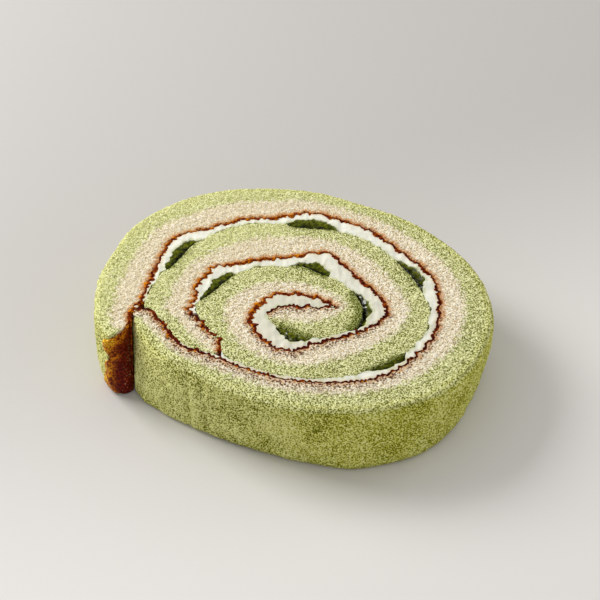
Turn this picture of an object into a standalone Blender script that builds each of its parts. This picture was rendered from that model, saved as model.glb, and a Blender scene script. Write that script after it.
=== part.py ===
"""Slice of a grape roll cake, lying on its cut face.

Two sheets of sponge are rolled up together, one inside the other. Each sheet is green
on its outer side and plain on its inner side, where a browned, crinkled skin shows as a
thin line at the cut. Cream fills the space between the wraps, and sticks of grape jelly
lie in pockets between the cream and the green sponge. Every layer runs right through
the slice, so every piece is a plan outline carried up through the thickness.

Units are metres, +Z is up, and the origin is the middle of the underside.
"""

import math

import bmesh
import bpy
import numpy as np

MM = 0.001

# The slice
THICKNESS = 20.0          # mm, from cut face to cut face
GAP = 0.3                 # mm, left between neighbouring layers
TOUCHING = 0.45           # mm, from a skin line to the face of a sheet that lies on it
RIM_RADIUS = 1.5          # mm, rounding of the outer rim at both cut faces
GREEN_LEFT = 0.4          # share of the green layer that the wall's foot and rim leave at least
CREAM_SINK = 0.3          # mm, cream below the cut faces
JELLY_SINK = 0.6          # mm, jelly below the cut faces

# The outer sheet, clockwise from its flap at the left front to its other end beside it.
# Each station: x and y of its browned skin, then x and y of its outer face, in mm.
OUTER_SHEET = [
    (-40.9, -12.0, -45.8, -17.4), (-40.9, -8.6, -49.3, -11.5), (-38.8, -4.6, -50.2, -5.0),
    (-37.4, 2.0, -50.4, 3.0), (-35.2, 10.5, -48.3, 13.0), (-31.8, 20.6, -41.6, 27.9),
    (-23.5, 24.9, -31.0, 37.3), (-15.0, 29.0, -19.0, 42.2), (-5.0, 30.4, -7.0, 43.4),
    (3.0, 32.6, 4.0, 42.5), (13.0, 29.4, 17.0, 37.7), (20.0, 25.4, 28.0, 32.3),
    (28.0, 17.0, 38.0, 24.0), (34.5, 9.0, 46.0, 13.0), (36.7, -1.0, 50.2, -2.0),
    (35.2, -13.0, 49.0, -13.5), (30.0, -21.8, 43.0, -26.5), (22.0, -28.8, 33.0, -36.0),
    (11.0, -31.5, 15.0, -41.4), (-1.0, -31.0, -2.0, -40.4), (-12.2, -27.2, -15.0, -35.0),
    (-20.0, -23.4, -24.0, -29.6), (-28.0, -19.3, -31.5, -23.5), (-33.0, -12.0, -36.5, -16.5),
    (-37.6, -7.2, -39.0, -12.6), (-39.9, -7.6, -40.0, -10.4),
]
OUTER_GREEN = (0.39, 0.50, 0.47, 0.50, 0.53, 0.62, 0.58, 0.34)   # share of the thickness

# The inner sheet, clockwise from its outer end at the left front, nearly two turns, to
# its inner end at the core. The stations are laid out like those of the outer sheet.
INNER_SHEET = [
    (-17.9, -22.0, -19.2, -22.8), (-18.3, -18.6, -25.2, -20.7), (-20.8, -14.8, -30.2, -15.5),
    (-24.0, -10.6, -33.9, -9.7), (-26.5, -7.3, -37.5, -5.8), (-25.0, -3.0, -37.0, -2.0),
    (-24.7, 2.5, -35.5, 3.5), (-22.8, 6.2, -33.6, 8.0), (-21.2, 9.0, -31.3, 12.2),
    (-16.5, 10.6, -25.0, 20.0), (-9.0, 13.2, -16.0, 26.3), (-1.0, 14.4, -6.0, 27.8),
    (8.3, 16.3, 6.0, 25.9), (12.8, 11.3, 17.0, 22.8), (17.0, 5.6, 25.0, 15.5),
    (21.0, 0.6, 30.5, 6.3), (23.6, -6.3, 34.3, -5.0), (19.2, -11.9, 32.3, -14.5),
    (12.5, -15.6, 25.5, -22.6), (4.5, -18.8, 16.0, -28.6), (-1.0, -21.0, 3.0, -30.4),
    (-6.5, -18.3, -10.3, -27.0), (-10.2, -12.5, -17.7, -21.7), (-11.1, -9.0, -22.2, -12.2),
    (-9.2, -4.9, -24.7, -5.6), (-5.6, -0.8, -20.5, 2.6), (0.0, 0.1, -9.0, 10.2),
    (5.5, -1.1, 3.5, 8.9), (8.8, -2.9, 12.0, 4.8), (10.2, -4.5, 17.0, -3.0),
    (6.0, -5.2, 15.4, -11.2), (1.5, -5.0, 5.3, -16.2), (-3.0, -5.0, -3.0, -13.2),
    (-6.6, -7.8, -6.3, -9.8),
]
INNER_GREEN = (0.45, 0.48, 0.43, 0.42, 0.52, 0.48, 0.48, 0.62, 0.45)

# Crinkles of the browned skins, as a zigzag
CRINKLE_STEP = 1.4        # mm, from a crest to the next trough
OUTER_CRINKLE = 0.35      # mm, height of a crest
INNER_CRINKLE = 0.5
CRINKLE_SWING = 0.35      # share of the height by which crests differ from each other
CRINKLE_TURN = 1.7        # radians that this difference runs on from crest to crest
CRINKLE_IN_BEND = 0.12    # most that a crest may be, as a share of the bend's radius

# Where cream lies, as places (x and y in mm) on the lines that bound it: first on the skin
# outside it, then on the inner sheet's face inside it
OUTER_CREAM_ENDS = (((-38.6, -4.2), (-37.3, -4.6)), ((-16.5, -24.8), (-14.8, -23.2)))
INNER_CREAM_START = ((-25.9, -5.8), (-24.6, -6.0))

# Sticks of jelly: the middle of each on the inner sheet's face and half its length, then how
# far it reaches into the sponge and how much further towards its end, clockwise, then the
# same two for its reach into the cream, all in mm
JELLY = [
    (-30.0, 14.0, 7.7, 0.8, -1.4, 2.1, 1.9), (4.5, 26.2, 7.5, 0.2, -1.6, 3.4, 0.0),
    (29.3, 8.7, 7.1, -0.1, -0.4, 2.7, 1.6), (22.5, -25.1, 7.0, 0.5, 0.5, 1.1, -1.9),
    (-20.7, 2.4, 8.2, 1.5, -0.8, 0.8, 2.1), (3.5, 8.9, 6.1, -0.9, 1.7, 3.4, 1.4),
    (17.2, -6.1, 9.0, -0.2, -0.9, 2.1, 0.5), (0.3, -15.0, 5.4, 0.4, 0.4, 2.2, 0.3),
]
JELLY_LEAST = 0.7         # mm, a stick ends where it would be thinner than this

# How far the wall's foot stands out beyond its top rim: share of the way round the outer
# face, clockwise from the flap to the other end, and mm
FOOT = (
    (0.0, -0.9), (0.05, -1.1), (0.12, 0.0), (0.55, 0.0), (0.6, -2.0), (0.64, -2.3),
    (0.68, -0.9), (0.72, 0.0), (0.77, 0.7), (0.81, -1.2), (0.84, -1.9), (0.87, -1.0),
    (0.92, 0.1), (0.95, 1.5), (0.965, 3.2), (0.98, 3.0), (0.99, 1.0), (1.0, 0.0),
)
BELLY = 0.6               # mm, how far the wall swells at half its height
FLAP_REACH = 4.6          # mm, how much further the flap's end reaches at its foot
FLAP_ZONE = 7.0           # mm, round the flap's inner corner, that reaches out with it
FLAP_PART = 20.0          # mm, along the sheet, that belongs to the flap
FLAP_BULGE = 0.9          # mm, how far the flap's end face is rounded

# Sampling of the outlines
SMOOTH_STEP = 2.4         # mm, between points on an even line
FINE_PLACES = 4000        # places along a sheet from which the even ones are picked
FENCE_REACH = 3.0         # mm, a point further than this from a fence isn't moved by it
LAP_POINTS = 4            # points of the skin past the cream's start that the next wrap covers
FIRST_WRAP = 2 / 3        # share of the inner sheet's face that can touch the outer cream
WALL_LEVELS = (0.0, 0.075, 0.3, 0.65, 0.925, 1.0)        # share of the thickness
LEAST_TURN = 1e-9         # radians, keeps the radius of a straight stretch finite

COLOURS = {
    "green_sponge": (0.52, 0.60, 0.22, 1.0),
    "plain_sponge": (0.78, 0.66, 0.43, 1.0),
    "cream": (0.86, 0.87, 0.76, 1.0),
    "grape_jelly": (0.05, 0.09, 0.01, 1.0),
}
ROUGHNESS = {"green_sponge": 0.9, "plain_sponge": 0.9, "cream": 0.5, "grape_jelly": 0.12}


def curve_through(points, knots, where):
    """Cubic curve through points: its slope at each is that of its neighbours' chord."""
    slopes = np.gradient(points, knots, axis=0)
    left = np.clip(np.searchsorted(knots, where, side="right") - 1, 0, len(knots) - 2)
    span = (knots[left + 1] - knots[left])[:, None]
    f = (where - knots[left])[:, None] / span
    start = points[left] * (1 + 2 * f) + slopes[left] * span * f
    end = points[left + 1] * (3 - 2 * f) - slopes[left + 1] * span * (1 - f)
    return start * (1 - f) ** 2 + end * f ** 2


def running_length(line):
    """Length from the line's start to each of its points."""
    steps = np.linalg.norm(np.diff(line, axis=0), axis=1)
    return np.concatenate([[0.0], np.cumsum(steps)])


def outward(line):
    """Unit normals to the left of the way along the line, away from the roll's core."""
    along = np.gradient(line, axis=0)
    along /= np.linalg.norm(along, axis=1)[:, None]
    return np.stack([-along[:, 1], along[:, 0]], axis=1)


def bend_radius(line):
    """Radius of the circle that the line follows at each point, in mm."""
    normals = outward(line)
    step = np.linalg.norm(np.gradient(line, axis=0), axis=1)
    turn = np.linalg.norm(np.gradient(normals, axis=0), axis=1)
    return step / np.maximum(turn, LEAST_TURN)


class Sheet:
    """A sheet of sponge: a skin line and an outer face, joined station by station."""

    def __init__(self, stations, green):
        table = np.array(stations)
        self.skin_points, self.face_points = table[:, :2], table[:, 2:]
        self.knots = running_length((self.skin_points + self.face_points) / 2)
        self.green = np.array(green)
        self.end = self.knots[-1]

    def line(self, share, where):
        """The line at a share of the thickness, from 0 at the face to 1 at the skin."""
        skin = curve_through(self.skin_points, self.knots, where)
        face = curve_through(self.face_points, self.knots, where)
        share = np.broadcast_to(share, where.shape)[:, None]
        return face + (skin - face) * share

    def green_share(self, where):
        """Thickness of the green layer as a share of the sheet's thickness."""
        places = np.linspace(0, self.end, len(self.green))
        return np.interp(where, places, self.green)

    def even(self, share, step):
        """Places along the sheet whose points are a step apart on the line at that share."""
        fine = np.linspace(0, self.end, FINE_PLACES)
        if share == "green":
            share = self.green_share(fine)
        length = running_length(self.line(share, fine))
        count = max(int(round(length[-1] / step)), 2)
        return np.interp(np.linspace(0, length[-1], count + 1), length, fine)


def crinkled(line, height):
    """The line with every second point pushed out and the others in, less in tight bends."""
    number = np.arange(len(line))
    uneven = 1 - CRINKLE_SWING + CRINKLE_SWING * np.sin(CRINKLE_TURN * number)
    swing = np.where(number % 2 == 0, 1.0, -1.0) * uneven
    reach = np.minimum(height, CRINKLE_IN_BEND * bend_radius(line))
    reach[[0, -1]] = 0.0
    return line + outward(line) * (swing * reach)[:, None]


def nearest_index(line, place):
    """Index of the line's point that is nearest to a place."""
    return int(np.argmin(np.linalg.norm(line - np.array(place), axis=1)))


def kept_inside(line, fence, clearance):
    """The line's points, moved inwards where they are nearer to the fence than allowed."""
    start, along = fence[:-1], np.diff(fence, axis=0)
    towards = line[:, None, :] - start[None]
    share = (towards * along).sum(2) / (along ** 2).sum(1)
    foot = start + np.clip(share, 0, 1)[..., None] * along
    apart = np.linalg.norm(line[:, None, :] - foot, axis=2)
    best = apart.argmin(axis=1)
    rows = np.arange(len(line))
    direction = along[best] / np.linalg.norm(along[best], axis=1)[:, None]
    inwards = np.stack([direction[:, 1], -direction[:, 0]], axis=1)
    depth = ((line - foot[rows, best]) * inwards).sum(1)
    near = (apart[rows, best] < FENCE_REACH) & (depth < clearance)
    return line + inwards * np.where(near, clearance - depth, 0.0)[:, None]


def plan_centre(sheet):
    """Middle of the box round the outer face, which becomes the origin."""
    face = sheet.line(0.0, sheet.even(0.0, SMOOTH_STEP))
    return (face.min(axis=0) + face.max(axis=0)) / 2


def stick_arch(line, place, half_length):
    """A parabola, from 0 at a stick's two ends to 1 at its middle, and the way from -1 to 1."""
    length = running_length(line)
    way = np.clip((length - length[nearest_index(line, place)]) / half_length, -1, 1)
    return 1 - way ** 2, way


def material(name):
    """Plain material of a layer."""
    made = bpy.data.materials.new(name)
    made.use_nodes = True
    shader = made.node_tree.nodes["Principled BSDF"]
    shader.inputs["Base Color"].default_value = COLOURS[name]
    shader.inputs["Roughness"].default_value = ROUGHNESS[name]
    shader.inputs["Metallic"].default_value = 0.0
    return made


def layered_solid(name, rings, heights, surface, collection):
    """A solid through plan outlines of as many points each, one at each height, in mm."""
    mesh = bpy.data.meshes.new(name)
    solid = bmesh.new()
    levels = []
    for ring, height in zip(rings, heights):
        levels.append([solid.verts.new((x * MM, y * MM, height * MM)) for x, y in ring])
    for lower, upper in zip(levels[:-1], levels[1:]):
        for i in range(len(lower)):
            j = (i + 1) % len(lower)
            solid.faces.new((lower[i], lower[j], upper[j], upper[i]))
    solid.faces.new(levels[0][::-1])
    solid.faces.new(levels[-1])
    bmesh.ops.recalc_face_normals(solid, faces=solid.faces)
    bmesh.ops.triangulate(solid, faces=solid.faces)
    solid.to_mesh(mesh)
    solid.free()
    piece = bpy.data.objects.new(name, mesh)
    mesh.materials.append(surface)
    collection.objects.link(piece)
    return piece


def wall_line(face, green_width, level):
    """The outer face at a share of the height: it leans, swells and is rounded at both rims."""
    height = level * THICKNESS
    to_rim = min(height, THICKNESS - height, RIM_RADIUS)
    inset = RIM_RADIUS - math.sqrt(RIM_RADIUS ** 2 - (RIM_RADIUS - to_rim) ** 2)
    length = running_length(face)
    foot = np.interp(length / length[-1], *zip(*FOOT))
    swell = BELLY * 4 * level * (1 - level)
    shift = np.maximum(foot * (1 - level) + swell - inset, (GREEN_LEFT - 1) * green_width)
    return face + outward(face) * shift[:, None]


def reached_out(line, places, corner, level):
    """The line with its flap end drawn towards the front, most at the foot and the corner."""
    near = np.clip(1 - np.linalg.norm(line - corner, axis=1) / FLAP_ZONE, 0, 1)
    near[places > FLAP_PART] = 0.0
    return line - np.array([0.0, 1.0]) * (FLAP_REACH * (1 - level) * near)[:, None]


def rounded_end(start, end, height, count=4):
    """Points between two corners, on an arc that stands out to the left of the way."""
    share = np.linspace(0, 1, count + 2)[1:-1, None]
    way = end - start
    left = np.array([-way[1], way[0]]) / np.linalg.norm(way)
    return start + way * share + left * height * 4 * share * (1 - share)


def outer_sheet_rings(sheet, skin):
    """Outlines of the outer sheet's green and plain layers at each level of the wall."""
    face_places = sheet.even(0.0, SMOOTH_STEP)
    border_places = sheet.even("green", SMOOTH_STEP)
    skin_places = sheet.even(1.0, CRINKLE_STEP)
    border = sheet.line(sheet.green_share(border_places), border_places)
    aside = outward(border) * GAP / 2
    flat_face = sheet.line(0.0, face_places)
    across = sheet.line(sheet.green_share(face_places), face_places) - flat_face
    green_width = np.linalg.norm(across, axis=1) - GAP / 2
    corner = skin[0]
    green, plain = [], []
    for level in WALL_LEVELS:
        face = wall_line(flat_face, green_width, level)
        face = reached_out(face, face_places, corner, level)
        outside = reached_out(border + aside, border_places, corner, level)
        inside = reached_out(border - aside, border_places, corner, level)
        sponge_skin = reached_out(skin + outward(skin) * GAP / 2, skin_places, corner, level)
        green_end = rounded_end(outside[0], face[0], FLAP_BULGE / 2, 1)
        plain_end = rounded_end(sponge_skin[0], inside[0], FLAP_BULGE)
        green.append(np.concatenate([face, outside[::-1], green_end]))
        plain.append(np.concatenate([inside, sponge_skin[::-1], plain_end]))
    return green, plain


def inner_sheet_rings(sheet, face, skin):
    """Outlines of the inner sheet's green and plain layers."""
    places = sheet.even("green", SMOOTH_STEP)
    border = sheet.line(sheet.green_share(places), places)
    aside = outward(border) * GAP / 2
    green = np.concatenate([face - outward(face) * GAP / 2, (border + aside)[::-1]])
    plain = np.concatenate([border - aside, (skin + outward(skin) * GAP / 2)[::-1]])
    return green, plain


def cream_ring(skin, face):
    """Outline of the cream between a stretch of skin and the stretch of face inside it."""
    return np.concatenate([skin - outward(skin) * GAP / 2, (face + outward(face) * GAP / 2)[::-1]])


def jelly_ring(cream_face, sponge_face, span):
    """Outline of a jelly stick, between the cream and the sponge of its pocket."""
    near = (cream_face - outward(cream_face) * GAP / 2)[span]
    far = (sponge_face + outward(sponge_face) * GAP / 2)[span]
    return np.concatenate([near, far[::-1]])


def build():
    """Makes every layer and puts it in the slice's own collection."""
    for old in list(bpy.data.objects):
        bpy.data.objects.remove(old, do_unlink=True)
    collection = bpy.data.collections.new("grape_roll_cake_slice")
    bpy.context.scene.collection.children.link(collection)
    surfaces = {name: material(name) for name in COLOURS}

    outer = Sheet(OUTER_SHEET, OUTER_GREEN)
    inner = Sheet(INNER_SHEET, INNER_GREEN)
    centre = plan_centre(outer)

    def layer(name, surface, rings, heights):
        moved = [ring - centre for ring in rings]
        layered_solid(name, moved, heights, surfaces[surface], collection)

    # The lines that the layers share
    outer_skin = crinkled(outer.line(1.0, outer.even(1.0, CRINKLE_STEP)), OUTER_CRINKLE)
    inner_skin = crinkled(inner.line(1.0, inner.even(1.0, CRINKLE_STEP)), INNER_CRINKLE)
    face = kept_inside(inner.line(0.0, inner.even(0.0, CRINKLE_STEP)), outer_skin, TOUCHING)
    second_wrap = len(face) // 2
    lap = nearest_index(inner_skin, INNER_CREAM_START[0]) + LAP_POINTS
    face[second_wrap:] = kept_inside(face[second_wrap:], inner_skin[:lap], TOUCHING)
    sponge_face, cream_face, sticks = face.copy(), face.copy(), []
    for x, y, half_length, dip, more_dip, rise, more_rise in JELLY:
        arch, way = stick_arch(face, (x, y), half_length)
        into_sponge = arch * (dip + more_dip * way)
        into_cream = arch * (rise + more_rise * way)
        sponge_face -= outward(face) * into_sponge[:, None]
        cream_face += outward(face) * into_cream[:, None]
        sticks.append(np.flatnonzero(into_sponge + into_cream > JELLY_LEAST))

    # The two sheets of sponge
    wall_heights = [level * THICKNESS for level in WALL_LEVELS]
    green, plain = outer_sheet_rings(outer, outer_skin)
    layer("outer_green_sponge", "green_sponge", green, wall_heights)
    layer("outer_plain_sponge", "plain_sponge", [plain[0], plain[-1]], (0.0, THICKNESS))
    green, plain = inner_sheet_rings(inner, sponge_face, inner_skin)
    layer("inner_green_sponge", "green_sponge", [green, green], (0.0, THICKNESS))
    layer("inner_plain_sponge", "plain_sponge", [plain, plain], (0.0, THICKNESS))

    # The two creams
    heights = (CREAM_SINK, THICKNESS - CREAM_SINK)
    first_wrap = face[:int(len(face) * FIRST_WRAP)]
    from_skin, to_skin = [nearest_index(outer_skin, place[0]) for place in OUTER_CREAM_ENDS]
    from_face, to_face = [nearest_index(first_wrap, place[1]) for place in OUTER_CREAM_ENDS]
    ring = cream_ring(outer_skin[from_skin:to_skin], cream_face[from_face:to_face])
    layer("outer_cream", "cream", [ring, ring], heights)
    from_skin = nearest_index(inner_skin, INNER_CREAM_START[0])
    from_face = second_wrap + nearest_index(face[second_wrap:], INNER_CREAM_START[1])
    ring = cream_ring(inner_skin[from_skin:], cream_face[from_face:])
    layer("inner_cream", "cream", [ring, ring], heights)

    # The sticks of jelly
    heights = (JELLY_SINK, THICKNESS - JELLY_SINK)
    for number, span in enumerate(sticks, start=1):
        ring = jelly_ring(cream_face, sponge_face, span)
        layer(f"grape_jelly_{number}", "grape_jelly", [ring, ring], heights)


build()
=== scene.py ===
# %% [markdown]
# # A slice of grape roll cake
# A roll cake is baked as a thin sheet of sponge, spread with cream, rolled up and sliced. This slice
# has two sheets, one rolled up inside the other. Each sheet is green on its outer side and plain on
# its inner side, where the oven left a brown, wrinkled skin. Sticks of grape jelly lie in the cream.
#
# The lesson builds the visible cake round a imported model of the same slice. That model gives the size
# and the place of every layer. The new surfaces are worked out with numpy, as points on grids.

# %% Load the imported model
import math

import bpy
import numpy as np
from mathutils import Matrix, Vector


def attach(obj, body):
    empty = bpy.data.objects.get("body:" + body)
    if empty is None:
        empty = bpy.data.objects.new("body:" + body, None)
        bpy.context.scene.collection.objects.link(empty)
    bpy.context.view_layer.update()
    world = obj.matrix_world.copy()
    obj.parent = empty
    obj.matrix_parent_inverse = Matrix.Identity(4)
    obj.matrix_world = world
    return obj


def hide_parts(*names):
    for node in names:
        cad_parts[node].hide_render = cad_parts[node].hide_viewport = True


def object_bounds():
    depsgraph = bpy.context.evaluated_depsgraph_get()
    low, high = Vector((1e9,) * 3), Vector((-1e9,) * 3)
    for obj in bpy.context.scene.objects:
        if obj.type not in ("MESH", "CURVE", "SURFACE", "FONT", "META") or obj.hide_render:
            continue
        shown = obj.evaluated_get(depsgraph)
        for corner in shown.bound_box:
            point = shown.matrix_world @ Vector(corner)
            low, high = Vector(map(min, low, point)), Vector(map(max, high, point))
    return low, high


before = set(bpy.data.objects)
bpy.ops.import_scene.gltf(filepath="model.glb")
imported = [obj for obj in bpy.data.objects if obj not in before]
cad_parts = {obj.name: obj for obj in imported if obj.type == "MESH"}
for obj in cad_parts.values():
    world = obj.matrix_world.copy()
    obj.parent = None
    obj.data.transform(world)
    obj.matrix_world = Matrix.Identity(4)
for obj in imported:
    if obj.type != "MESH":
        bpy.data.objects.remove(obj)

MM = 0.001
scene = bpy.context.scene
cad_low, cad_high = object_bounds()
THICKNESS = (cad_high.z - cad_low.z) / MM
print("layers in the packed model:", ", ".join(sorted(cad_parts)))
print("size in mm:", [round(side / MM, 1) for side in cad_high - cad_low])

# %% [markdown]
# ## The lines of the roll
# Seen from above, a sheet is a long band that winds round the core. A hand-drawn outline could be
# traced with a Bezier curve, but the two sides of a band have to stay matched, or the crumb between
# them would shear. So each sheet is a list of stations: a place on its brown skin, and the place
# straight across the band on its outer face. Smooth curves run through both.

# %% Stations of the two sheets
# In mm, clockwise: skin x, skin y, face x, face y
OUTER_SHEET = [
    (-40.9, -12.0, -45.8, -17.4), (-40.9, -8.6, -49.3, -11.5), (-38.8, -4.6, -50.2, -5.0),
    (-37.4, 2.0, -50.4, 3.0), (-35.2, 10.5, -48.3, 13.0), (-31.8, 20.6, -41.6, 27.9),
    (-23.5, 24.9, -31.0, 37.3), (-15.0, 29.0, -19.0, 42.2), (-5.0, 30.4, -7.0, 43.4),
    (3.0, 32.6, 4.0, 42.5), (13.0, 29.4, 17.0, 37.7), (20.0, 25.4, 28.0, 32.3),
    (28.0, 17.0, 38.0, 24.0), (34.5, 9.0, 46.0, 13.0), (36.7, -1.0, 50.2, -2.0),
    (35.2, -13.0, 49.0, -13.5), (30.0, -21.8, 43.0, -26.5), (22.0, -28.8, 33.0, -36.0),
    (11.0, -31.5, 15.0, -41.4), (-1.0, -31.0, -2.0, -40.4), (-12.2, -27.2, -15.0, -35.0),
    (-20.0, -23.4, -24.0, -29.6), (-28.0, -19.3, -31.5, -23.5), (-33.0, -12.0, -36.5, -16.5),
    (-37.6, -7.2, -39.0, -12.6), (-39.9, -7.6, -40.0, -10.4),
]
INNER_SHEET = [
    (-17.9, -22.0, -19.2, -22.8), (-18.3, -18.6, -25.2, -20.7), (-20.8, -14.8, -30.2, -15.5),
    (-24.0, -10.6, -33.9, -9.7), (-26.5, -7.3, -37.5, -5.8), (-25.0, -3.0, -37.0, -2.0),
    (-24.7, 2.5, -35.5, 3.5), (-22.8, 6.2, -33.6, 8.0), (-21.2, 9.0, -31.3, 12.2),
    (-16.5, 10.6, -25.0, 20.0), (-9.0, 13.2, -16.0, 26.3), (-1.0, 14.4, -6.0, 27.8),
    (8.3, 16.3, 6.0, 25.9), (12.8, 11.3, 17.0, 22.8), (17.0, 5.6, 25.0, 15.5),
    (21.0, 0.6, 30.5, 6.3), (23.6, -6.3, 34.3, -5.0), (19.2, -11.9, 32.3, -14.5),
    (12.5, -15.6, 25.5, -22.6), (4.5, -18.8, 16.0, -28.6), (-1.0, -21.0, 3.0, -30.4),
    (-6.5, -18.3, -10.3, -27.0), (-10.2, -12.5, -17.7, -21.7), (-11.1, -9.0, -22.2, -12.2),
    (-9.2, -4.9, -24.7, -5.6), (-5.6, -0.8, -20.5, 2.6), (0.0, 0.1, -9.0, 10.2),
    (5.5, -1.1, 3.5, 8.9), (8.8, -2.9, 12.0, 4.8), (10.2, -4.5, 17.0, -3.0),
    (6.0, -5.2, 15.4, -11.2), (1.5, -5.0, 5.3, -16.2), (-3.0, -5.0, -3.0, -13.2),
    (-6.6, -7.8, -6.3, -9.8),
]
OUTER_GREEN = (0.39, 0.50, 0.47, 0.50, 0.53, 0.62, 0.58, 0.34)  # share of the thickness
INNER_GREEN = (0.45, 0.48, 0.43, 0.42, 0.52, 0.48, 0.48, 0.62, 0.45)
print(len(OUTER_SHEET), "and", len(INNER_SHEET), "stations")


# %% Curves through the stations
def curve_through(points, knots, where):
    """Cubic curve through points: its slope at each is that of its neighbours' chord."""
    slopes = np.gradient(points, knots, axis=0)
    left = np.clip(np.searchsorted(knots, where, side="right") - 1, 0, len(knots) - 2)
    span = (knots[left + 1] - knots[left])[:, None]
    f = (where - knots[left])[:, None] / span
    start = points[left] * (1 + 2 * f) + slopes[left] * span * f
    end = points[left + 1] * (3 - 2 * f) - slopes[left + 1] * span * (1 - f)
    return start * (1 - f) ** 2 + end * f ** 2


def running_length(line):
    """Length from the line's start to each of its points: the sum of the steps so far."""
    steps = np.linalg.norm(np.diff(line, axis=0), axis=1)
    return np.concatenate([[0.0], np.cumsum(steps)])


def outward(line):
    """Unit normals to the left of the way along the line, which is away from the core."""
    along = np.gradient(line, axis=0)
    along /= np.linalg.norm(along, axis=1)[:, None] + 1e-9
    return np.stack([-along[:, 1], along[:, 0]], axis=1)


def resampled(line, count):
    """The same line as evenly spaced points: each is interpolated at its share of the length."""
    length = running_length(line)
    even = np.linspace(0, length[-1], count)
    return np.stack([np.interp(even, length, line[:, i]) for i in range(2)], axis=1)


def gap(left, right):
    """Distance between the matching points of two lines, as a column."""
    return np.linalg.norm(right - left, axis=1)[:, None]


def nearest_index(line, place):
    """Index of the line's point that is nearest to a place."""
    return int(np.argmin(np.linalg.norm(line - np.array(place), axis=1)))


def sheet_lines(stations, green, step):
    """Skin, face and colour border of a sheet, as lines of matching points.

    The points are a step apart along the middle of the band. The border lies between face and skin at
    the green layer's share of the thickness, which changes evenly from value to value.
    """
    table = np.array(stations)
    skin, face = table[:, :2], table[:, 2:]
    knots = running_length((skin + face) / 2)
    where = np.linspace(0, knots[-1], int(knots[-1] / step))
    skin, face = curve_through(skin, knots, where), curve_through(face, knots, where)
    share = np.interp(where, np.linspace(0, knots[-1], len(green)), green)[:, None]
    return skin, face, face + (skin - face) * share


OUTER_STEP = 0.245  # mm between the columns of the outer sheet
INNER_STEP = 0.22
outer_skin, outer_face, outer_border = sheet_lines(OUTER_SHEET, OUTER_GREEN, OUTER_STEP)
inner_skin, inner_face, inner_border = sheet_lines(INNER_SHEET, INNER_GREEN, INNER_STEP)
PLAN_CENTRE = (outer_face.min(axis=0) + outer_face.max(axis=0)) / 2
print("columns:", len(outer_skin), len(inner_skin), "centre:", PLAN_CENTRE.round(3))

# %% [markdown]
# ## Chance that repeats
# Crumb, wrinkles and torn cream are uneven, yet the script has to give the same cake each time. A
# seeded random list would do for a few values. For a surface, noise on a lattice is better: a
# number is worked out from each cell's place, so a point always finds the same number, on any piece.


# %% Noise on a lattice
MIXERS = np.array([73856093, 19349663, 83492791], dtype=np.int64)


def cell_value(cell, salt):
    """A fixed number from 0 to 1 for each cell of whole numbers.

    The coordinates are multiplied by large primes and added, and the sum is mixed with itself twice.
    """
    mixed = (cell.astype(np.int64) * MIXERS[:cell.shape[-1]]).sum(axis=-1) + salt * 7919
    mixed &= 0xFFFFFFFF
    mixed = ((mixed ^ (mixed >> 16)) * 0x45D9F3B) & 0xFFFFFFFF
    mixed = ((mixed ^ (mixed >> 15)) * 0x2C1B3C6D) & 0xFFFFFFFF
    return ((mixed ^ (mixed >> 16)) & 0xFFFFF) / 0xFFFFF


def soft_noise(points, size, salt):
    """Smooth noise from -1 to 1 with lumps of about that size, in any number of dimensions.

    The cell's corner values are blended with the weight 3t² - 2t³ along each axis.
    """
    scaled = np.asarray(points, float) / size
    cell = np.floor(scaled)
    f = scaled - cell
    f = f * f * (3 - 2 * f)
    total = 0.0
    for corner in np.ndindex(*[2] * cell.shape[-1]):
        side = np.array(corner)
        weight = np.where(side == 1, f, 1 - f).prod(axis=-1)
        total = total + weight * cell_value(cell + side, salt)
    return total * 2 - 1


def wobble(length, size, salt):
    """Smooth noise from -1 to 1 along a length."""
    return soft_noise(np.asarray(length)[..., None], size, salt)


def pores(points, size, salt):
    """Distance from each point to the nearest pore's centre, in cells.

    Each cell of a cubic lattice has one centre at a chance place, and the 27 cells round are searched.
    """
    scaled = points / size
    cell = np.floor(scaled)
    best = np.full(points.shape[:-1], 9.0)
    for step in np.ndindex(3, 3, 3):
        near = cell + np.array(step) - 1
        centre = near + np.stack([cell_value(near, salt + axis) for axis in range(3)], axis=-1)
        best = np.minimum(best, ((centre - scaled) ** 2).sum(axis=-1))
    return np.sqrt(best)


print("one cell's value:", float(cell_value(np.array([3, 1, 4]), 1)))

# %% [markdown]
# ## The wrinkled skin
# The top of a baked sheet browns and dries to a thin skin. Rolled inwards it has to get shorter, so it
# wrinkles: rounded folds towards the cream, sharp creases between them. One sine would be too even. Here
# every fold is half a sine with a chance height of its own, its length runs on unevenly, and smaller
# beads ride on it.

# %% Fold the skins and fit the inner sheet into the outer one
FOLD_SKEW = 1.8  # how far a fold's top leans towards its end
# Folds of each skin: share of its length, mm high, mm from fold to fold
OUTER_FOLD = ((0, 0.5, 3.6), (0.1, 0.45, 3.8), (0.2, 0.6, 4.4), (0.3, 0.45, 3.8), (0.5, 0.4, 4.4),
              (0.6, 0.7, 3.6), (0.66, 0.8, 3.6), (0.72, 0.2, 3.6), (0.84, 0.2, 3.0), (0.92, 0.6, 5.0),
              (1, 0.4, 5.0))
INNER_FOLD = ((0, 0.4, 2.8), (0.06, 1.1, 2.6), (0.19, 1.1, 2.4), (0.22, 0.4, 3.4), (0.34, 0.5, 4.0),
              (0.55, 0.5, 4.2), (0.62, 0.8, 4.4), (0.7, 0.5, 3.4), (0.85, 0.8, 4.2), (1, 0.4, 3.8))
FOLD_DRIFT = 6.0  # mm over which the count of folds drifts
BEAD_STEP = 1.5  # mm from bead to bead
BEAD_HEIGHT = 0.34  # mm
BEAD_DRIFT = 3.0  # mm over which the count of beads drifts
SKIN_LIFT = 0.4  # share of a fold or a bead that stands back from the core
END_FADE = 3.0  # mm at a sheet's end over which its wrinkles fade
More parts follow.
